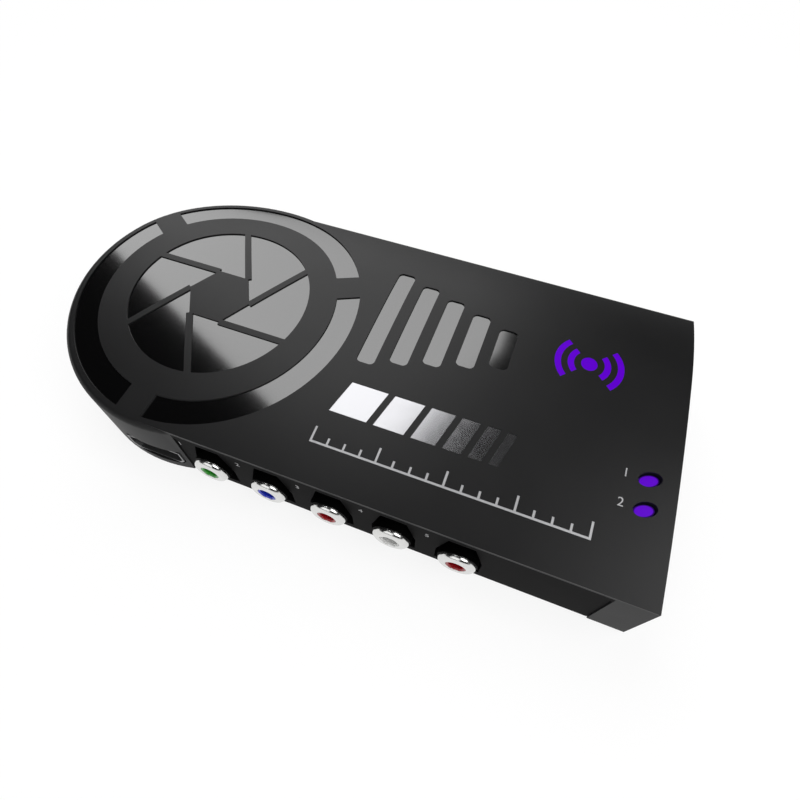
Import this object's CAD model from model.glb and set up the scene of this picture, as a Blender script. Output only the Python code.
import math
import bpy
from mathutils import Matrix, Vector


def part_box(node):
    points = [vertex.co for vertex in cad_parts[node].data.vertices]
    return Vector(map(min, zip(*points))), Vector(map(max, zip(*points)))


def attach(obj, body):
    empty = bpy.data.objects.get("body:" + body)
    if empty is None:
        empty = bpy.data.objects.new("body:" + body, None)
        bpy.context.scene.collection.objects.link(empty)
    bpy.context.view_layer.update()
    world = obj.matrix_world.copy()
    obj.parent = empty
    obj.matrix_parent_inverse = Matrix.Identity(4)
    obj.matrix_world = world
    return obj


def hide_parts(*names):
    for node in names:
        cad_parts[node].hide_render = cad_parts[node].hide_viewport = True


bl_info = {
    "name": "Video capture box",
    "version": (1, 0, 0),
    "blender": (4, 5, 0),
    "location": "3D View > Sidebar > Capture box",
    "description": "Dresses the CAD model of a video capture box with finishes, jacks and print",
    "category": "Object",
}

import bpy
import numpy as np
from mathutils import Matrix

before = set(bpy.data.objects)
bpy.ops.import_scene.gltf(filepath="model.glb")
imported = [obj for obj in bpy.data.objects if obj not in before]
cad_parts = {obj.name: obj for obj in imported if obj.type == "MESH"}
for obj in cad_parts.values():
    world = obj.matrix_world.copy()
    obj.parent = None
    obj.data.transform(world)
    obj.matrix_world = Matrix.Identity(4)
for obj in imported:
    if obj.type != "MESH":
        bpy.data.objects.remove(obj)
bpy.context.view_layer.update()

BODY = "root"
SLOT_OF = {name: node.data.materials[0].name for name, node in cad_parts.items()}
JACKS = ("green", "blue", "red_video", "white", "red_audio")
MM = 0.001
UP = (0.0, 0.0, 1.0)
OUT_OF_FRONT = (0.0, -1.0, 0.0)
WHITE = (1.0, 1.0, 1.0, 1.0)

# Points nearer than the weld are one point, and nothing is divided by less than the tiny length
WELD = 1e-7
TINY = 1e-18

# Cosines of angles between faces: faces within the crease share a normal. A face this near to the
# roof's own normal takes that one, and counts this many times more than its area
CREASE = math.cos(math.radians(32.0))
FOLLOWS_ROOF = math.cos(math.radians(3.0))
ROOF_WEIGHT = 40

# The roof is two flat arcs over the width, in metres from the middle of the case: (y, z) of their
# centres, their radii and where they meet. Only what lies deeper than the skin looks like a wall
ROOF_FRONT_CENTRE, ROOF_BACK_CENTRE = (0.026804, -0.370655), (0.017600, -0.077800)
ROOF_FRONT_RADIUS, ROOF_BACK_RADIUS = 0.395, 0.102
ROOF_MEET_Y = 0.014396
ROOF_SKIN = 0.0003
CASE_MIDDLE_Y = 0.0006

# The two windows are equal turned ellipses, one behind the other, in metres and degrees. Their
# light fades between these squares of the share of the way from the middle to the rim, to a glow
# of this share
WINDOW_HALF_AXES = (0.002225, 0.0013)
WINDOW_TURN = 25.0
WINDOW_PITCH = 0.0066
WINDOW_FADE = (0.84, 0.66)
WINDOW_RIM_GLOW = 0.08

# The lip of the cover over the jack panel: its ends, its face and its foot, in metres
LIP_START_X, LIP_END_X = -0.02957, 0.06855
LIP_FACE_Y = -0.0366
LIP_FOOT_Z = 0.01692

# The jacks: how far a contact reaches past its insulator's hole, and an insulator's bevels, at its
# outer rim and, across and deep, round the hole
CONTACT_RIM = 0.6 * MM
INSULATOR_EDGE = 0.08 * MM
HOLE_BEVEL = (0.20 * MM, 0.25 * MM)

# The sockets: the pitch of their contacts, and the share of its tongue's length that one takes
VIDEO_PITCH, DATA_PITCH = 1.0 * MM, 0.8 * MM
CONTACT_SHARE = 0.85

# The feet: their radius, and within how many radii of its middle all points of a foot lie
FOOT_RADIUS = 5.0 * MM
FOOT_REACH = 1.01

# The numbers: the share of the font's size that a cap takes, the steps of its curves, how far left
# of the windows and of a jack's middle the numbers stand, and how high those of the jacks
CAP_SHARE = 0.73
CURVE_STEPS = 6
WINDOW_NUMBER_LEFT = 4.2 * MM
JACK_NUMBER_LEFT = 7.5 * MM
JACK_NUMBER_Z = 13.6 * MM

# Patterns in the finishes: scales of noise or cells per metre, the levels where specks begin, and
# how strongly dust and fillers show
PLASTIC_DRIFT, PLATING_DRIFT = 70.0, 400.0
WIPING = (300.0, 2400.0, 300.0)
DUST, DUST_LEVEL, DUST_DULLS = 5200.0, 0.79, 0.05
FLAKES = 6500.0
LENS_CLOUD, LAMP_CLOUD = 170.0, 520.0
FILLER, FILLER_LEVEL, FILLER_SHOWS = 5200.0, 0.66, 0.6
TRACKS, TRACK_SHARE = 900.0, 0.36
TRACK_PATCHES = 95.0
VIAS, VIA_RADIUS = 210.0, 0.13
MASK_DRIFT = 900.0
LACQUER_IOR = 1.87

# The stage, in metres: the floor, between which radii it turns white, and between which heights of
# the view the mirrored room goes from its dark ceiling to its white band
FLOOR_RADIUS, FLOOR_DEPTH, FLOOR_STEPS = 8.0, 0.01, 128
FLOOR_FADE = (0.13, 0.34)
BAND_FADE = (0.22, 0.12)

# The softboxes: the outline of the one over the roof, between which y it dims and to what share,
# then the middles and sizes of the others, the front one's given as a way and how far along it
SOFTBOX_HEIGHT = 0.9
ROOF_BOX_OUTLINE = ((-0.16, -0.01), (0.0, 0.62), (0.0, 2.1), (-1.2, 2.5), (-1.75, 1.03))
ROOF_BOX_FADE = (0.4, 2.0)
ROOF_BOX_FAR_SHARE = 0.6
END_BOX_MIDDLE = (0.82, -0.10, SOFTBOX_HEIGHT)
END_BOX_SIZE = (0.96, 0.86)
FRONT_BOX_WAY = (-0.22, -0.70, 0.68)
FRONT_BOX_DISTANCE = 1.4
FRONT_BOX_SIZE = (1.2, 1.2)

# The camera: the ways of its right, its top and its back, and its place and clipping in metres
CAMERA_RIGHT = (0.93452, 0.35574, 0.01114)
CAMERA_UP = (-0.30358, 0.78036, 0.54670)
CAMERA_BACK = (0.18579, -0.51429, 0.83725)
CAMERA_PLACE = (0.03712, -0.07068, 0.11811)
CAMERA_CLIP = (0.005, 50.0)
SENSOR_WIDTH = 36.0


def roof_arc(y):
    """The centre and the radius of the roof's arc over each y of the row frame: the front arc up
    to the meeting line, the back arc past it."""
    front = y - CASE_MIDDLE_Y < ROOF_MEET_Y
    centre = np.where(front[..., None], ROOF_FRONT_CENTRE, ROOF_BACK_CENTRE)
    return centre + (CASE_MIDDLE_Y, 0.0), np.where(front, ROOF_FRONT_RADIUS, ROOF_BACK_RADIUS)


def roof_normal(points):
    """The way straight out of the roof at each point: from the arc's centre through the point,
    with no part along the case."""
    centre, _ = roof_arc(points[..., 1])
    out = points[..., 1:] - centre
    out /= np.linalg.norm(out, axis=-1, keepdims=True)
    return np.concatenate([np.zeros(out.shape[:-1] + (1,)), out], axis=-1)


def corner_normals(points, faces, on_roof):
    """The normal at every corner of every triangle: the mean, by area, of the faces round that
    vertex which lean less than the crease from the corner's own face. On the roof, a face that
    follows it gives the roof's exact normal instead, and counts for more."""
    corners = points[faces]
    cross = np.cross(corners[:, 1] - corners[:, 0], corners[:, 2] - corners[:, 0])
    area = np.linalg.norm(cross, axis=1, keepdims=True)
    share = np.repeat(cross, 3, axis=0)
    own = np.repeat(cross / np.maximum(area, TINY), 3, axis=0)
    if on_roof:
        exact = roof_normal(corners.reshape(-1, 3))
        follows = (own * exact).sum(1) > FOLLOWS_ROOF
        weighted = exact * np.repeat(area, 3, axis=0) * ROOF_WEIGHT
        share = np.where(follows[:, None], weighted, share)

    # Every corner is set against all the corners at its vertex, as two flat lists: here and there
    vertex = faces.ravel()
    order = np.argsort(vertex, kind="stable")
    count = np.bincount(vertex, minlength=len(points))
    first = np.cumsum(count) - count
    reach = count[vertex]
    here = np.repeat(np.arange(len(vertex)), reach)
    step = np.arange(reach.sum()) - np.repeat(np.cumsum(reach) - reach, reach)
    there = order[first[vertex[here]] + step]
    near = (own[here] * own[there]).sum(1) > CREASE
    total = np.zeros((len(vertex), 3))
    np.add.at(total, here[near], share[there[near]])
    return total / np.maximum(np.linalg.norm(total, axis=1, keepdims=True), TINY)


def shaped(name, points, faces, on_roof=False):
    """A mesh object from points and triangles, in metres in the row frame. Points that coincide are
    joined first, and triangles that this leaves with no area are dropped, so seams and poles are
    closed."""
    cells = np.round(points / WELD).astype(np.int64)
    _, kept, joint = np.unique(cells, axis=0, return_index=True, return_inverse=True)
    points = points[kept]
    faces = joint.reshape(-1)[faces]
    a, b, c = faces.T
    faces = faces[(a != b) & (b != c) & (c != a)]
    mesh = bpy.data.meshes.new(name)
    mesh.from_pydata(points, [], faces)
    mesh.polygons.foreach_set("use_smooth", np.ones(len(faces), bool))
    mesh.normals_split_custom_set(corner_normals(points, faces, on_roof))
    made = bpy.data.objects.new(name, mesh)
    bpy.context.scene.collection.objects.link(made)
    return made


def triangles_of(mesh):
    """The points and the triangles of a mesh, as arrays."""
    mesh.calc_loop_triangles()
    points = np.empty(len(mesh.vertices) * 3)
    mesh.vertices.foreach_get("co", points)
    faces = np.empty(len(mesh.loop_triangles) * 3, int)
    mesh.loop_triangles.foreach_get("vertices", faces)
    return points.reshape(-1, 3), faces.reshape(-1, 3)


def box_of(node):
    """The lowest and the highest corner of a CAD node's box, as arrays."""
    low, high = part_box(node)
    return np.array(low), np.array(high)


def grid_faces(rows, columns):
    """Two triangles for every cell of a grid of rows by columns points."""
    corner = np.arange(rows * columns).reshape(rows, columns)
    a, b, c, d = corner[:-1, :-1], corner[:-1, 1:], corner[1:, 1:], corner[1:, :-1]
    halves = [np.stack(half, -1).reshape(-1, 3) for half in ((a, b, c), (a, c, d))]
    return np.concatenate(halves)


def turned(profile, centre, axis, steps=96):
    """A closed profile turned about an axis. At profile step i and angle t the point is the centre,
    plus radius_i times the arm at angle t, plus height_i times the axis, where the arm at t is
    side cos t + up sin t and side, up and axis are square to each other. The profile runs so that
    the solid lies on its left."""
    axis = np.array(axis, float)
    side = np.array((1.0, 0.0, 0.0)) if axis[2] == 1.0 else np.cross(UP, axis)
    up = np.cross(axis, side)
    profile = np.vstack([profile, profile[:1]])
    angle = np.linspace(0, 2 * np.pi, steps + 1)
    arm = np.cos(angle)[:, None] * side + np.sin(angle)[:, None] * up
    points = np.array(centre) + profile[:, None, :1] * arm[None] + profile[:, None, 1:] * axis
    return points.reshape(-1, 3), grid_faces(len(profile), steps + 1)


def rounded_corner(radius, centre, start, end, steps=8):
    """Points on an arc of a profile, from one angle to another in degrees: centre + radius
    (cos t, sin t)."""
    angle = np.radians(np.linspace(start, end, steps))
    return np.array(centre) + radius * np.stack([np.cos(angle), np.sin(angle)], -1)


def plates(middles, size):
    """A row of equal boxes. Each box has the eight corners of the unit cube, scaled to the size and
    moved to its middle, and two triangles a side."""
    half = (-0.5, 0.5)
    cube = np.array([[x, y, z] for x in half for y in half for z in half])
    sides = [(0, 1, 3, 2), (4, 6, 7, 5), (0, 4, 5, 1), (2, 3, 7, 6), (0, 2, 6, 4), (1, 5, 7, 3)]
    faces = np.array([f for a, b, c, d in sides for f in ((a, b, c), (a, c, d))])
    points = np.array(middles)[:, None, :] + cube[None] * np.array(size)
    starts = len(cube) * np.arange(len(middles))[:, None, None]
    return points.reshape(-1, 3), (faces[None] + starts).reshape(-1, 3)


def joined(parts):
    """Several pairs of points and triangles as one."""
    points, faces = zip(*parts)
    starts = np.cumsum([0] + [len(p) for p in points])
    return np.concatenate(points), np.concatenate([f + start for f, start in zip(faces, starts)])


class Term:
    """A shader socket that takes part in sums. Each operator adds one Math node to its tree."""

    def __init__(self, wiring, socket):
        self.wiring = wiring
        self.socket = socket

    def math(self, operation, *values):
        return self.wiring.node("ShaderNodeMath", {"operation": operation}, dict(enumerate(values)))

    def __add__(self, other):
        return self.math("ADD", self, other)

    __radd__ = __add__

    def __sub__(self, other):
        return self.math("SUBTRACT", self, other)

    def __rsub__(self, other):
        return self.math("SUBTRACT", other, self)

    def __mul__(self, other):
        return self.math("MULTIPLY", self, other)

    __rmul__ = __mul__

    def __truediv__(self, other):
        return self.math("DIVIDE", self, other)

    def __gt__(self, other):
        return self.math("GREATER_THAN", self, other)

    def __lt__(self, other):
        return self.math("LESS_THAN", self, other)

    def __pow__(self, other):
        return self.math("POWER", self, other)

    def fraction(self):
        return self.math("FRACT", self)

    def larger(self, other):
        return self.math("MAXIMUM", self, other)


class Wiring:
    """The node tree of one material or of the world."""

    def __init__(self, owner):
        owner.use_nodes = True
        self.owner = owner
        self.tree = owner.node_tree
        self.tree.nodes.clear()

    def node(self, kind, settings=None, inputs=None, output=0):
        """Adds a node, sets its settings, then gives its sockets their values or links, and returns
        one output."""
        made = self.tree.nodes.new(kind)
        for key, value in (settings or {}).items():
            setattr(made, key, value)
        for key, value in (inputs or {}).items():
            if isinstance(value, Term):
                self.tree.links.new(value.socket, made.inputs[key])
            else:
                made.inputs[key].default_value = value
        return Term(self, made.outputs[output]) if made.outputs else None

    def place(self):
        return self.node("ShaderNodeTexCoord", output="Object")

    def axes(self, vector=None):
        split = self.node("ShaderNodeSeparateXYZ", {}, {0: vector or self.place()})
        return [Term(self, socket) for socket in split.socket.node.outputs]

    def noise(self, scale, detail=2.0, place=None):
        inputs = {"Vector": place or self.place(), "Scale": scale, "Detail": detail}
        return self.node("ShaderNodeTexNoise", {}, inputs)

    def stretched_noise(self, scales, detail):
        """Noise with a scale of its own along each axis."""
        inputs = {0: self.place(), 1: scales}
        place = self.node("ShaderNodeVectorMath", {"operation": "MULTIPLY"}, inputs)
        return self.noise(1.0, detail, place)

    def mixed(self, share, first, second):
        """Two colours mixed. The Mix node keeps its sockets for colours at 6, 7 and 2."""
        inputs = {0: share, 6: first, 7: second}
        return self.node("ShaderNodeMix", {"data_type": "RGBA"}, inputs, 2)

    def toned(self, share, colour, first, second):
        """One colour, from the first factor to the second as the share goes from 0 to 1."""
        return self.mixed(share, paint(colour, first), paint(colour, second))

    def ramp(self, value, fade, low=0.0, high=1.0, kind="LINEAR"):
        """Low up to the start of the fade and high from its end on."""
        inputs = dict(enumerate((value, *fade, low, high)))
        return self.node("ShaderNodeMapRange", {"interpolation_type": kind}, inputs)

    def rays(self, *kinds):
        """1 on rays of the kinds named, and 0 on all others."""
        path = self.node("ShaderNodeLightPath").socket.node
        found, *others = (Term(self, path.outputs[f"Is {kind} Ray"]) for kind in kinds)
        for other in others:
            found = found.larger(other)
        return found

    def bump(self, height, distance):
        return self.node("ShaderNodeBump", {}, {"Height": height, "Distance": distance})

    def surface(self, shader):
        """Ends a material in a shader, and returns the material."""
        self.node("ShaderNodeOutputMaterial", {}, {"Surface": shader})
        return self.owner

    def principled(self, **inputs):
        """Ends a material in the Principled shader. An underscore in a name stands for a space."""
        named = {key.replace("_", " "): value for key, value in inputs.items()}
        return self.surface(self.node("ShaderNodeBsdfPrincipled", {}, named))


def paint(colour, factor=1.0):
    """A colour property as the four numbers of a socket, made lighter or darker."""
    return (colour[0] * factor, colour[1] * factor, colour[2] * factor, 1.0)


def around(middle, spread, cloud):
    """A value that goes from the spread below its middle to the spread above it, as the cloud goes
    from 0 to 1."""
    return middle - spread + 2 * spread * cloud


def new_finish(name):
    return Wiring(bpy.data.materials.new("finish_" + name))


def under_roof(w):
    """1 under the roof's skin and 0 in it: inside the circle of the back arc, or inside that of the
    front arc before the line where they meet."""
    _, y, z = w.axes()

    def inside(centre, radius):
        across, up = y - (centre[0] + CASE_MIDDLE_Y), z - centre[1]
        return across * across + up * up < (radius - ROOF_SKIN) ** 2

    front = inside(ROOF_FRONT_CENTRE, ROOF_FRONT_RADIUS) * (y < ROOF_MEET_Y + CASE_MIDDLE_Y)
    return inside(ROOF_BACK_CENTRE, ROOF_BACK_RADIUS).larger(front)


def in_windows(w):
    """1 in the middle of each window and 0 at its rim. Across and along are measured from the
    middle of the nearer window. Turned to the axes of its ellipse and divided by the half axes,
    they are far and wide, whose squares add up to 1 on the rim."""
    low, high = box_of("indicator_light_pipe")
    middle = (low + high) / 2
    x, y, _ = w.axes()
    across = x - middle[0]
    along = (((y - middle[1]) / WINDOW_PITCH).fraction() - 0.5) * WINDOW_PITCH
    cosine, sine = math.cos(math.radians(WINDOW_TURN)), math.sin(math.radians(WINDOW_TURN))
    far = (across * cosine + along * sine) / WINDOW_HALF_AXES[0]
    wide = (along * cosine - across * sine) / WINDOW_HALF_AXES[1]
    return w.ramp(far * far + wide * wide, WINDOW_FADE)


def moulded(name, colour, roughness, grain, depth, specular=0.5, wall_step=None):
    """A moulded plastic: fine spark-eroded grain in its normal, and slow drifts in its tone and
    gloss. Where a wall step is given, all that lies under the roof is rougher by it."""
    w = new_finish(name)
    slow = w.noise(PLASTIC_DRIFT)
    fine = w.noise(grain, detail=3.0)
    if wall_step:
        roughness = roughness + wall_step * under_roof(w)
    return w.principled(
        Base_Color=w.toned(slow, colour, 0.92, 1.08),
        Roughness=around(roughness, 0.04, slow),
        Normal=w.bump(fine, depth),
        Specular_IOR_Level=specular,
    )


def piano_gloss(name, colour, roughness):
    """A polished black inlay: a hard, clear surface with faint wiping marks and dust."""
    w = new_finish(name)
    marks = w.stretched_noise(WIPING, detail=3.0)
    dust = w.noise(DUST, detail=0.0) > DUST_LEVEL
    return w.principled(
        Base_Color=w.toned(dust, colour, 1.0, 3.0),
        Roughness=around(roughness, 0.012, marks) + DUST_DULLS * dust,
        IOR=LACQUER_IOR,
    )


def plated(name, colour, roughness, lines, depth):
    """A plated metal: fine tool lines, close together along the axes with the large scales, and
    small drifts in its gloss."""
    w = new_finish(name)
    drift = w.noise(PLATING_DRIFT)
    return w.principled(
        Base_Color=w.toned(drift, colour, 0.94, 1.0),
        Metallic=1.0,
        Roughness=around(roughness, 0.03, drift),
        Normal=w.bump(w.stretched_noise(lines, detail=2.0), depth),
    )


def printed_silver(name, colour, depth):
    """Silver print: metal flakes in a clear binder."""
    w = new_finish(name)
    flake = w.noise(FLAKES, detail=1.0)
    return w.principled(
        Base_Color=w.toned(flake, colour, 0.75, 1.1),
        Metallic=0.55,
        Roughness=around(0.47, 0.05, flake),
        Normal=w.bump(flake, depth),
    )


def lit_lens(name, colour, glow, windows=False):
    """A violet lens lit from below: its glow is a little stronger over the lamps, which the noise
    stands for. In the windows it fades to dark towards the rim of each ellipse."""
    w = new_finish(name)
    cloud = w.noise(LENS_CLOUD)
    light = w.toned(cloud, glow, 0.93, 1.07)
    if windows:
        light = w.mixed(in_windows(w), paint(glow, WINDOW_RIM_GLOW), light)
    return w.principled(
        Base_Color=w.toned(cloud, colour, 0.8, 1.0),
        Roughness=around(0.33, 0.03, cloud),
        Specular_IOR_Level=0.05,
        Emission_Color=light,
        Emission_Strength=1.0,
    )


def laminate(name, mask, copper, depth):
    """A board's solder mask: runs of buried tracks in two directions, patch by patch, with small
    vias between them."""
    w = new_finish(name)
    x, y, _ = w.axes()
    cell = {"Vector": w.place(), "Scale": TRACK_PATCHES, "Randomness": 0.0}
    patch = w.node("ShaderNodeTexVoronoi", {}, cell, "Color")
    turn = w.axes(patch)[0] > 0.5
    lines_x, lines_y = ((axis * TRACKS).fraction() < TRACK_SHARE for axis in (x, y))
    tracks = turn * lines_x + (1.0 - turn) * lines_y
    via = w.node("ShaderNodeTexVoronoi", {}, {"Vector": w.place(), "Scale": VIAS}) < VIA_RADIUS
    relief = tracks.larger(via)
    return w.principled(
        Base_Color=w.mixed(via, w.toned(relief, mask, 1.0, 1.9), paint(copper)),
        Roughness=around(0.37, 0.05, w.noise(MASK_DRIFT)),
        Normal=w.bump(relief, depth),
    )


def chip_resin(name, colour, depth):
    """Chip resin: dull black with pale filler specks and shallow moulding grain."""
    w = new_finish(name)
    speck = w.noise(FILLER, detail=1.0)
    return w.principled(
        Base_Color=w.toned((speck > FILLER_LEVEL) * FILLER_SHOWS, colour, 1.0, 3.0),
        Roughness=around(0.60, 0.08, speck),
        Normal=w.bump(speck, depth),
    )


def lamp_resin(name, colour, core):
    """A small lamp: a milky case with a yellow core that shows through it."""
    w = new_finish(name)
    cloud = w.noise(LAMP_CLOUD)
    tone = w.mixed(cloud, paint(colour), paint(core))
    return w.principled(Base_Color=tone, Roughness=around(0.25, 0.05, cloud))


def colour_property(name, description, default):
    return bpy.props.FloatVectorProperty(
        name=name,
        description=description,
        default=default,
        subtype="COLOR",
        size=3,
        min=0.0,
        max=1.0,
    )


def length_property(name, description, default):
    return bpy.props.FloatProperty(
        name=name,
        description=description,
        default=default,
        subtype="DISTANCE",
        unit="LENGTH",
        min=0.0,
        precision=5,
    )


def level_property(name, description, default, **limits):
    return bpy.props.FloatProperty(
        name=name, description=description, default=default, min=0.0, **limits
    )


class CaptureBoxColours(bpy.types.PropertyGroup):
    """The colours of the finishes, as linear red, green and blue."""

    cover: colour_property("Cover", "Satin plastic of the top cover", (0.0075, 0.0075, 0.0078))
    base: colour_property("Base", "Plastic of the floor plate", (0.013, 0.013, 0.014))
    panel: colour_property("Panel", "Plastic of the jack panel", (0.0045, 0.0043, 0.0045))
    gloss: colour_property("Gloss", "Polished black of the inlays", (0.0015, 0.0015, 0.0016))
    chrome: colour_property("Chrome", "Slanted smoked chrome bars", (0.30, 0.30, 0.31))
    silver: colour_property("Silver", "Thin scale and printed numbers", (0.42, 0.42, 0.43))
    lens: colour_property("Lens", "Moulded violet lens", (0.015, 0.0, 0.08))
    glow: colour_property("Glow", "Light of the symbol and of the windows", (0.098, 0.0, 0.515))
    rubber: colour_property("Rubber", "Feet", (0.02, 0.02, 0.02))
    steel: colour_property("Steel", "Zinc plated screws", (0.42, 0.42, 0.43))
    socket: colour_property("Socket plastic", "Jack bodies and tongues", (0.008, 0.008, 0.008))
    sleeve: colour_property("Sleeves", "Deep black round the barrels", (0.0015, 0.0015, 0.0015))
    nickel: colour_property("Nickel", "Barrels of the phono jacks", (0.72, 0.72, 0.71))
    shell: colour_property("Shells", "Dull nickel of the square sockets", (0.22, 0.22, 0.225))
    green: colour_property("Green insulator", "First picture signal", (0.035, 0.30, 0.03))
    blue: colour_property("Blue insulator", "Second picture signal", (0.012, 0.03, 0.45))
    red: colour_property("Red insulator", "Third picture signal, and sound", (0.30, 0.006, 0.010))
    white: colour_property("White insulator", "Sound", (0.62, 0.62, 0.61))
    brass: colour_property("Brass", "Plated contacts", (0.75, 0.56, 0.28))
    mask: colour_property("Board", "Solder mask of the main board", (0.006, 0.07, 0.025))
    copper: colour_property("Vias", "Plated holes of the main board", (0.45, 0.33, 0.12))
    resin: colour_property("Chips", "Chip resin", (0.014, 0.014, 0.015))
    can: colour_property("Cans", "Drawn metal cans", (0.62, 0.62, 0.63))
    lamp: colour_property("Lamps", "Milky case of the small lamps", (0.75, 0.75, 0.70))
    core: colour_property("Lamp cores", "Yellow core of the small lamps", (0.7, 0.55, 0.12))


class CaptureBoxSizes(bpy.types.PropertyGroup):
    """The sizes of what Blender adds to the CAD model."""

    barrel_lip: length_property("Barrel lip", "Rounding of a barrel's outer rim", 1.1 * MM)
    barrel_inner_lip: length_property("Inner lip", "Rounding of its inner rim", 0.18 * MM)
    insulator_dish: length_property("Dish", "Dip of an insulator's face at its hole", 0.06 * MM)
    sleeve_wall: length_property("Sleeve wall", "Thickness of a barrel's black sleeve", 0.25 * MM)
    sleeve_set_back: length_property("Sleeve set-back", "Barrel left bare by a sleeve", 1.3 * MM)
    line_height: length_property("Line height", "Black line over the jack panel", 1.3 * MM)
    foot_rounding: length_property("Foot rounding", "Rounding of a foot's lower rim", 0.35 * MM)
    contact_width: length_property("Contact width", "Width of a contact on a tongue", 0.45 * MM)
    contact_thickness: length_property("Contact thickness", "How far one stands out", 0.06 * MM)
    print_height: length_property("Number height", "Cap height beside the windows", 2.0 * MM)
    jack_print_height: length_property("Jack number height", "The same by the jacks", 1.6 * MM)
    print_thickness: length_property("Print thickness", "Thickness of the ink", 0.02 * MM)


class CaptureBoxStage(bpy.types.PropertyGroup):
    """The light, the floor and the lens."""

    roof_light: level_property("Roof light", "Brightness of the softbox that the roof mirrors", 3.4)
    end_light: level_property("End light", "Brightness of the softbox over the straight end", 4.4)
    front_light: level_property("Front light", "Brightness of the softbox before the case", 1.25)
    room: level_property("Room", "The room as a light, though it is seen as white", 0.12)
    ceiling: level_property("Ceiling", "Dark room that the gloss mirrors over the band", 0.006)
    floor_glow: level_property("Floor glow", "White share of the near floor", 0.85, max=1.0)
    floor: colour_property("Floor", "Pale floor", (0.93, 0.93, 0.93))
    lens: bpy.props.FloatProperty(
        name="Lens", description="Focal length", default=22.907, min=1.0, unit="CAMERA"
    )


def finishes(colours):
    """Every finish by its name, made once. Most are the record's slots. Violet window, deep black
    and dull nickel are finishes that single pieces of a slot have instead."""
    known = [each for each in bpy.data.materials if each.name.startswith("finish_")]
    insulator = {"roughness": 0.26, "grain": 2600.0, "depth": 3e-6}
    made = known or [
        moulded(
            "cover_plastic",
            colours.cover,
            roughness=0.38,
            grain=4800.0,
            depth=5e-6,
            specular=0.21,
            wall_step=0.16,
        ),
        moulded("base_plastic", colours.base, roughness=0.58, grain=3600.0, depth=9e-6),
        moulded(
            "panel_plastic", colours.panel, roughness=0.62, grain=4200.0, depth=5e-6, specular=0.03
        ),
        piano_gloss("gloss_black", colours.gloss, roughness=0.095),
        plated("chrome", colours.chrome, roughness=0.18, lines=(500.0, 4200.0, 500.0), depth=4e-8),
        printed_silver("silver_foil", colours.silver, depth=4e-6),
        lit_lens("violet_lens", colours.lens, colours.glow),
        lit_lens("violet_window", colours.lens, colours.glow, windows=True),
        moulded("rubber", colours.rubber, roughness=0.82, grain=2600.0, depth=2e-5, specular=0.3),
        plated(
            "screw_steel", colours.steel, roughness=0.34, lines=(1500.0, 1500.0, 1500.0), depth=4e-6
        ),
        moulded("socket_black", colours.socket, roughness=0.46, grain=3800.0, depth=6e-6),
        moulded(
            "deep_black", colours.sleeve, roughness=0.40, grain=3800.0, depth=3e-6, specular=0.01
        ),
        plated("nickel", colours.nickel, roughness=0.20, lines=(300.0, 5200.0, 300.0), depth=2e-6),
        plated(
            "dull_nickel", colours.shell, roughness=0.38, lines=(900.0, 900.0, 900.0), depth=2e-6
        ),
        moulded("insulator_green", colours.green, **insulator),
        moulded("insulator_blue", colours.blue, **insulator),
        moulded("insulator_red", colours.red, **insulator),
        moulded("insulator_white", colours.white, **insulator),
        plated(
            "contact_brass", colours.brass, roughness=0.20, lines=(700.0, 700.0, 700.0), depth=2e-6
        ),
        laminate("board_laminate", colours.mask, colours.copper, depth=2e-5),
        chip_resin("chip_resin", colours.resin, depth=6e-6),
        plated("can_metal", colours.can, roughness=0.28, lines=(2400.0, 2400.0, 200.0), depth=4e-6),
        lamp_resin("led_resin", colours.lamp, colours.core),
    ]
    return {each.name: each for each in made}


def finish_of(name):
    return finishes(bpy.context.scene.capture_box_colours)["finish_" + name]


def wear(shown, name):
    """Gives an object one finish, in place of any that it has."""
    shown.data.materials.clear()
    shown.data.materials.append(finish_of(name))


def settle(piece, slot, *nodes, finish=None):
    """Gives a finished piece its finish, its body and the CAD nodes that it stands for. The finish
    is that of its slot unless another is named."""
    wear(piece, finish or slot)
    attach(piece, BODY)
    if nodes:
        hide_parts(*nodes)


def smoothed(node, on_roof=False, finish=None):
    """A copy of a CAD node whose triangles share their corners and are shaded smooth up to the
    crease. The node itself is left alone."""
    piece = shaped(node + "_smooth", *triangles_of(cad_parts[node].data), on_roof)
    settle(piece, SLOT_OF[node], node, finish=finish)


def painted(*nodes):
    """Gives CAD nodes that keep their own mesh the finish of their slot."""
    for node in nodes:
        wear(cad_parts[node], SLOT_OF[node])


class CAPTURE_BOX_OT_case(bpy.types.Operator):
    """Dresses the cover, the floor plate and the jack panel, with a black line over the panel"""

    bl_idname = "capture_box.case"
    bl_label = "Case"

    def execute(self, context):
        smoothed("top_cover", on_roof=True)
        smoothed("floor_plate")
        smoothed("jack_panel")
        sizes = context.scene.capture_box_sizes
        size = (LIP_END_X - LIP_START_X, sizes.print_thickness, sizes.line_height)
        middle = ((LIP_START_X + LIP_END_X) / 2, LIP_FACE_Y - size[1] / 2, LIP_FOOT_Z + size[2] / 2)
        settle(shaped("front_line", *plates([middle], size)), "panel_plastic")
        return {"FINISHED"}


class CAPTURE_BOX_OT_inlays(bpy.types.Operator):
    """Dresses what lies in the roof: gloss inlays, chrome bars and silver scale"""

    bl_idname = "capture_box.inlays"
    bl_label = "Roof inlays"

    def execute(self, context):
        for node in ("ring_inlay", "shutter_inlay", "bar_inlay", "chrome_bars", "silver_scale"):
            smoothed(node, on_roof=True)
        return {"FINISHED"}


class CAPTURE_BOX_OT_lights(bpy.types.Operator):
    """Dresses the lit parts: symbol guide, indicator light pipe and the small lamps under them"""

    bl_idname = "capture_box.lights"
    bl_label = "Lit parts"

    def execute(self, context):
        smoothed("symbol_guide", on_roof=True)
        smoothed("indicator_light_pipe", on_roof=True, finish="violet_window")
        painted("indicator_leds", "symbol_leds")
        return {"FINISHED"}


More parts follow.
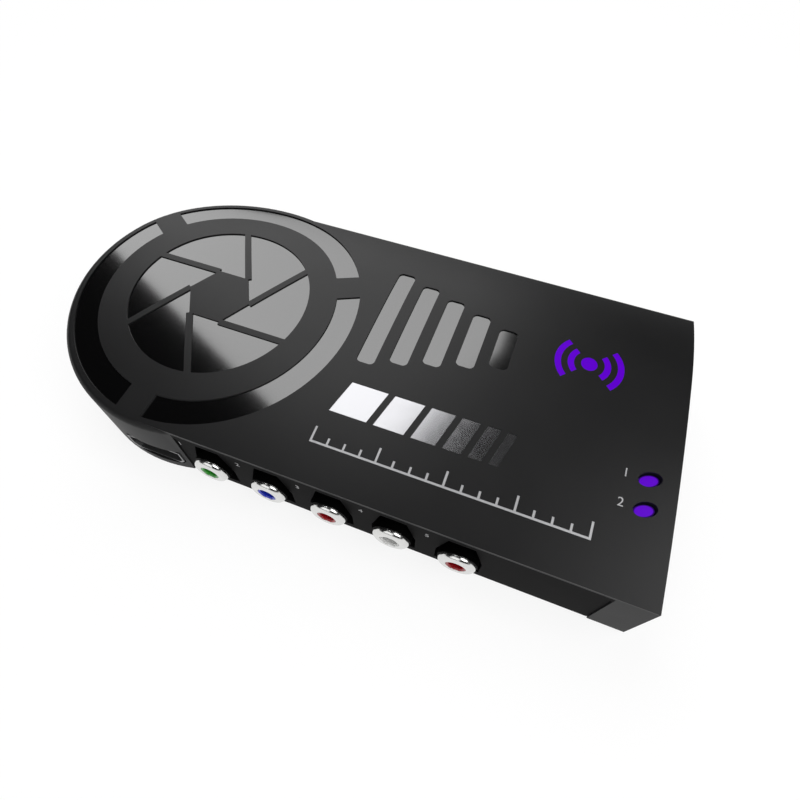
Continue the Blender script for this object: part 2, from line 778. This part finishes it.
class CAPTURE_BOX_OT_jacks(bpy.types.Operator):
    """Turns rolled barrels, their black sleeves and dished insulators for the phono jacks"""

    bl_idname = "capture_box.jacks"
    bl_label = "Phono jacks"

    def execute(self, context):
        sizes = context.scene.capture_box_sizes
        lip, inner, dish = sizes.barrel_lip, sizes.barrel_inner_lip, sizes.insulator_dish
        sleeves = []
        for colour in JACKS:
            low, high = box_of(f"jack_shell_{colour}")
            root = ((low[0] + high[0]) / 2, high[1], (low[2] + high[2]) / 2)
            outer, length = (high[0] - low[0]) / 2, high[1] - low[1]
            low, high = box_of(f"jack_insulator_{colour}")
            bore, depth = (high[0] - low[0]) / 2, high[1] - low[1]
            low, high = box_of(f"jack_contact_{colour}")
            pin = (high[0] - low[0]) / 2 - CONTACT_RIM

            barrel = [
                [(bore, 0.0), (outer, 0.0)],
                rounded_corner(lip, (outer - lip, length - lip), 0, 90),
                rounded_corner(inner, (bore + inner, length - inner), 90, 180),
            ]
            rim, end = outer + sizes.sleeve_wall, length - sizes.sleeve_set_back
            sleeve = [(outer, 0.0), (rim, 0.0), (rim, end), (outer, end)]
            insulator = [
                (pin, 0.0),
                (bore, 0.0),
                (bore, depth - INSULATOR_EDGE),
                (bore - INSULATOR_EDGE, depth),
                (pin + HOLE_BEVEL[0], depth - dish),
                (pin, depth - dish - HOLE_BEVEL[1]),
            ]
            shell = shaped(f"barrel_{colour}", *turned(np.vstack(barrel), root, OUT_OF_FRONT))
            settle(shell, "nickel", f"jack_shell_{colour}")
            sleeves.append(turned(sleeve, root, OUT_OF_FRONT))
            ring = shaped(f"insulator_{colour}", *turned(insulator, root, OUT_OF_FRONT))
            settle(ring, SLOT_OF[f"jack_insulator_{colour}"], f"jack_insulator_{colour}")
            smoothed(f"jack_body_{colour}")
            smoothed(f"jack_contact_{colour}")
        settle(shaped("barrel_sleeves", *joined(sleeves)), "socket_black", finish="deep_black")
        return {"FINISHED"}


class CAPTURE_BOX_OT_sockets(bpy.types.Operator):
    """Dresses the video and data sockets and lays the contacts on their tongues"""

    bl_idname = "capture_box.sockets"
    bl_label = "Sockets"

    def execute(self, context):
        sizes = context.scene.capture_box_sizes
        rows = []
        for end in ("input", "output"):
            smoothed(f"video_{end}_shell", finish="dull_nickel")
            tongue = f"video_{end}_tongue"
            smoothed(tongue)
            rows.append(self.contacts(sizes, tongue, count=10, pitch=VIDEO_PITCH, above=True))
            rows.append(self.contacts(sizes, tongue, count=9, pitch=VIDEO_PITCH))
        smoothed("data_socket_shell", finish="dull_nickel")
        smoothed("data_socket_tongue")
        rows.append(self.contacts(sizes, "data_socket_tongue", count=5, pitch=DATA_PITCH))
        settle(shaped("socket_contacts", *joined(rows)), "contact_brass")
        return {"FINISHED"}

    def contacts(self, sizes, tongue, count, pitch, above=False):
        """A row of contacts under or above a tongue, a pitch apart about the tongue's middle."""
        low, high = box_of(tongue)
        middle = (low + high) / 2
        half = sizes.contact_thickness / 2
        across = middle[0] + (np.arange(count) - (count - 1) / 2) * pitch
        height = high[2] + half if above else low[2] - half
        places = np.stack([across, np.full(count, middle[1]), np.full(count, height)], -1)
        length = CONTACT_SHARE * (high[1] - low[1])
        return plates(places, (sizes.contact_width, length, sizes.contact_thickness))


class CAPTURE_BOX_OT_underside(bpy.types.Operator):
    """Dresses the underside: rubber feet with a rounded lower rim, and the case screws"""

    bl_idname = "capture_box.underside"
    bl_label = "Underside"

    def execute(self, context):
        rounding = context.scene.capture_box_sizes.foot_rounding
        low, high = box_of("rubber_feet")
        points, _ = triangles_of(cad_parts["rubber_feet"].data)
        foot = [
            [(0.0, low[2]), (FOOT_RADIUS - rounding, low[2])],
            rounded_corner(rounding, (FOOT_RADIUS - rounding, low[2] + rounding), -90, 0),
            [(FOOT_RADIUS, high[2]), (0.0, high[2])],
        ]
        feet = []
        for x in (low[0] + FOOT_RADIUS, high[0] - FOOT_RADIUS):
            near = points[np.abs(points[:, 0] - x) < FOOT_REACH * FOOT_RADIUS]
            for y in (near[:, 1].min() + FOOT_RADIUS, near[:, 1].max() - FOOT_RADIUS):
                feet.append(turned(np.vstack(foot), (x, y, 0.0), UP))
        settle(shaped("feet", *joined(feet)), "rubber", "rubber_feet")
        smoothed("case_screws")
        return {"FINISHED"}


class CAPTURE_BOX_OT_board(bpy.types.Operator):
    """Dresses the main board and all that it carries"""

    bl_idname = "capture_box.board"
    bl_label = "Main board"

    def execute(self, context):
        painted("main_board", "encoder_chip", "receiver_chip", "bridge_chip", "memory_chips")
        for node in ("crystal", "capacitors", "inductors", "board_screws"):
            smoothed(node)
        return {"FINISHED"}


def number(text, cap_height, thickness, align):
    """A printed number, flat at the origin, as the points and triangles of a thin closed mesh."""
    curve = bpy.data.curves.new("number", "FONT")
    curve.body = text
    curve.align_x = align
    curve.size = cap_height / CAP_SHARE
    curve.extrude = thickness / 2
    curve.resolution_u = CURVE_STEPS
    written = bpy.data.objects.new("number", curve)
    bpy.context.scene.collection.objects.link(written)
    bpy.context.view_layer.update()
    solid = written.evaluated_get(bpy.context.evaluated_depsgraph_get())
    mesh = bpy.data.meshes.new_from_object(solid)
    bpy.data.objects.remove(written)
    bpy.data.curves.remove(curve)
    points, faces = triangles_of(mesh)
    bpy.data.meshes.remove(mesh)
    return points, faces


def laid_on_roof(points, x, y, thickness):
    """Flat points carried onto the roof: along the case as they are, and up to the arc's height
    over their y, plus their own height."""
    across = points[:, 1] + y
    centre, radius = roof_arc(across)
    top = centre[:, 1] + np.sqrt(radius**2 - (across - centre[:, 0]) ** 2)
    return np.stack([points[:, 0] + x, across, top + thickness / 2 + points[:, 2]], -1)


def stood_on_front(points, x, y, z, thickness):
    """Flat points stood up on the front wall: x along the case, their y as height, and their own
    height outwards."""
    out = y - thickness / 2 - points[:, 2]
    return np.stack([points[:, 0] + x, out, points[:, 1] + z], -1)


class CAPTURE_BOX_OT_numbers(bpy.types.Operator):
    """Prints plain numbers beside the windows and beside the jacks"""

    bl_idname = "capture_box.numbers"
    bl_label = "Numbers"

    def execute(self, context):
        sizes = context.scene.capture_box_sizes
        ink, tall, small = sizes.print_thickness, sizes.print_height, sizes.jack_print_height
        low, high = box_of("indicator_light_pipe")
        middle = (low + high) / 2
        marks = []
        for text, side in (("1", 1), ("2", -1)):
            y = middle[1] + side * WINDOW_PITCH / 2 - tall / 2
            points, faces = number(text, tall, ink, "RIGHT")
            marks.append((laid_on_roof(points, middle[0] - WINDOW_NUMBER_LEFT, y, ink), faces))
        front = box_of("jack_panel")[0][1]
        for i, colour in enumerate(JACKS, 1):
            low, high = box_of(f"jack_shell_{colour}")
            x = (low[0] + high[0]) / 2 - JACK_NUMBER_LEFT
            points, faces = number(str(i), small, ink, "CENTER")
            marks.append((stood_on_front(points, x, front, JACK_NUMBER_Z, ink), faces))
        settle(shaped("numbers", *joined(marks)), "silver_foil")
        return {"FINISHED"}


class CAPTURE_BOX_OT_stage(bpy.types.Operator):
    """Sets up the pale floor, the room, the three softboxes and the camera"""

    bl_idname = "capture_box.stage"
    bl_label = "Stage"

    def execute(self, context):
        stage = context.scene.capture_box_stage
        self.floor(stage)
        self.room(context.scene, stage)
        self.panel_light("roof_softbox", np.array(ROOF_BOX_OUTLINE), stage.roof_light)
        side, top = (1.0, 0.0, 0.0), (0.0, 1.0, 0.0)
        self.softbox("end_softbox", END_BOX_MIDDLE, side, top, END_BOX_SIZE, stage.end_light)
        away = FRONT_BOX_WAY / np.linalg.norm(FRONT_BOX_WAY)
        side = np.cross(UP, away)
        side /= np.linalg.norm(side)
        middle, top = FRONT_BOX_DISTANCE * away, np.cross(away, side)
        self.softbox("front_softbox", middle, side, top, FRONT_BOX_SIZE, stage.front_light)
        self.camera(context.scene, stage)
        context.scene.view_settings.view_transform = "Standard"
        return {"FINISHED"}

    def floor(self, stage):
        """A pale disc that takes the shadow. Seen or mirrored, it turns plain white further out."""
        rim, low = FLOOR_RADIUS, -FLOOR_DEPTH
        profile = [(0.0, low), (rim, low), (rim, 0.0), (0.0, 0.0)]
        floor = shaped("floor", *turned(profile, (0.0, 0.0, 0.0), UP, FLOOR_STEPS))
        w = Wiring(bpy.data.materials.new("pale_floor"))
        x, y, _ = w.axes()
        far = w.ramp((x * x + y * y) ** 0.5, FLOOR_FADE, kind="SMOOTHSTEP")
        pale = w.node("ShaderNodeBsdfDiffuse", {}, {"Color": paint(stage.floor)})
        white = w.node("ShaderNodeEmission", {}, {"Strength": 1.0})
        share = stage.floor_glow + (1.0 - stage.floor_glow) * far
        seen = w.rays("Camera", "Glossy", "Transmission")
        both = w.node("ShaderNodeMixShader", {}, {0: seen * share, 1: pale, 2: white})
        floor.data.materials.append(w.surface(both))

    def room(self, scene, stage):
        """White to the camera, dim as a light, and to what mirrors it a dark ceiling over a white
        band at the horizon."""
        scene.world = bpy.data.worlds.new("room")
        w = Wiring(scene.world)
        _, _, up = w.axes(w.node("ShaderNodeTexCoord", output="Generated"))
        band = w.ramp(up, BAND_FADE, kind="SMOOTHSTEP")
        studio = (stage.ceiling - stage.room) + (1.0 - stage.ceiling) * band
        seen = w.rays("Camera") * (1.0 - stage.room)
        level = stage.room + seen + w.rays("Glossy", "Transmission") * studio
        sky = w.node("ShaderNodeBackground", {}, {"Color": WHITE, "Strength": level})
        w.node("ShaderNodeOutputWorld", {}, {"Surface": sky})

    def panel_light(self, name, outline, brightness):
        """A flat light with a free outline: a fan of triangles from its first corner, at one
        height, that face down. It dims towards its back, where the roof mirrors it at a low
        angle."""
        points = np.column_stack([outline, np.full(len(outline), SOFTBOX_HEIGHT)])
        step = np.arange(1, len(outline) - 1)
        light = shaped(name, points, np.stack([np.zeros_like(step), step + 1, step], -1))
        w = Wiring(bpy.data.materials.new(name))
        _, y, _ = w.axes()
        dim = w.ramp(y, ROOF_BOX_FADE, brightness, ROOF_BOX_FAR_SHARE * brightness)
        glow = w.node("ShaderNodeEmission", {}, {"Color": WHITE, "Strength": dim})
        light.data.materials.append(w.surface(glow))
        light.visible_camera = False
        light.visible_shadow = False

    def softbox(self, name, middle, side, top, size, brightness):
        """A rectangle of light that shines away from the cross of its side and its top. Its power
        is its brightness times pi times its area."""
        width, depth = size
        lamp = bpy.data.lights.new(name, "AREA")
        lamp.shape = "RECTANGLE"
        lamp.size = width
        lamp.size_y = depth
        lamp.energy = brightness * math.pi * width * depth
        box = self.placed(name, lamp, middle, side, top, np.cross(side, top))
        box.visible_camera = False

    def camera(self, scene, stage):
        """The camera of the photograph."""
        data = bpy.data.cameras.new("camera")
        data.sensor_width = SENSOR_WIDTH
        data.lens = stage.lens
        data.clip_start, data.clip_end = CAMERA_CLIP
        axes = (CAMERA_RIGHT, CAMERA_UP, CAMERA_BACK)
        scene.camera = self.placed("camera", data, CAMERA_PLACE, *axes)

    def placed(self, name, data, place, *axes):
        """An object at a place, with the ways that its x, y and z axes point."""
        made = bpy.data.objects.new(name, data)
        bpy.context.scene.collection.objects.link(made)
        made.matrix_world = Matrix.Translation(place) @ Matrix(axes).transposed().to_4x4()
        return made


OPERATORS = (
    CAPTURE_BOX_OT_case,
    CAPTURE_BOX_OT_inlays,
    CAPTURE_BOX_OT_lights,
    CAPTURE_BOX_OT_jacks,
    CAPTURE_BOX_OT_sockets,
    CAPTURE_BOX_OT_underside,
    CAPTURE_BOX_OT_board,
    CAPTURE_BOX_OT_numbers,
    CAPTURE_BOX_OT_stage,
)
GROUPS = (
    ("capture_box_colours", CaptureBoxColours),
    ("capture_box_sizes", CaptureBoxSizes),
    ("capture_box_stage", CaptureBoxStage),
)


class CAPTURE_BOX_PT_panel(bpy.types.Panel):
    """Lists the pieces and what can be changed about them"""

    bl_idname = "CAPTURE_BOX_PT_panel"
    bl_label = "Capture box"
    bl_space_type = "VIEW_3D"
    bl_region_type = "UI"
    bl_category = "Capture box"

    def draw(self, context):
        for operator in OPERATORS:
            self.layout.operator(operator.bl_idname)
        for name, group in GROUPS:
            box = self.layout.box()
            for key in group.__annotations__:
                box.prop(getattr(context.scene, name), key)


def register():
    for name, group in GROUPS:
        bpy.utils.register_class(group)
        setattr(bpy.types.Scene, name, bpy.props.PointerProperty(type=group))
    for each in OPERATORS + (CAPTURE_BOX_PT_panel,):
        bpy.utils.register_class(each)


def unregister():
    for each in reversed(OPERATORS + (CAPTURE_BOX_PT_panel,)):
        bpy.utils.unregister_class(each)
    for name, group in reversed(GROUPS):
        delattr(bpy.types.Scene, name)
        bpy.utils.unregister_class(group)


def main():
    register()
    bpy.ops.capture_box.case()
    bpy.ops.capture_box.inlays()
    bpy.ops.capture_box.lights()
    bpy.ops.capture_box.jacks()
    bpy.ops.capture_box.sockets()
    bpy.ops.capture_box.underside()
    bpy.ops.capture_box.board()
    bpy.ops.capture_box.numbers()
    bpy.ops.capture_box.stage()


if __name__ == "__main__":
    main()
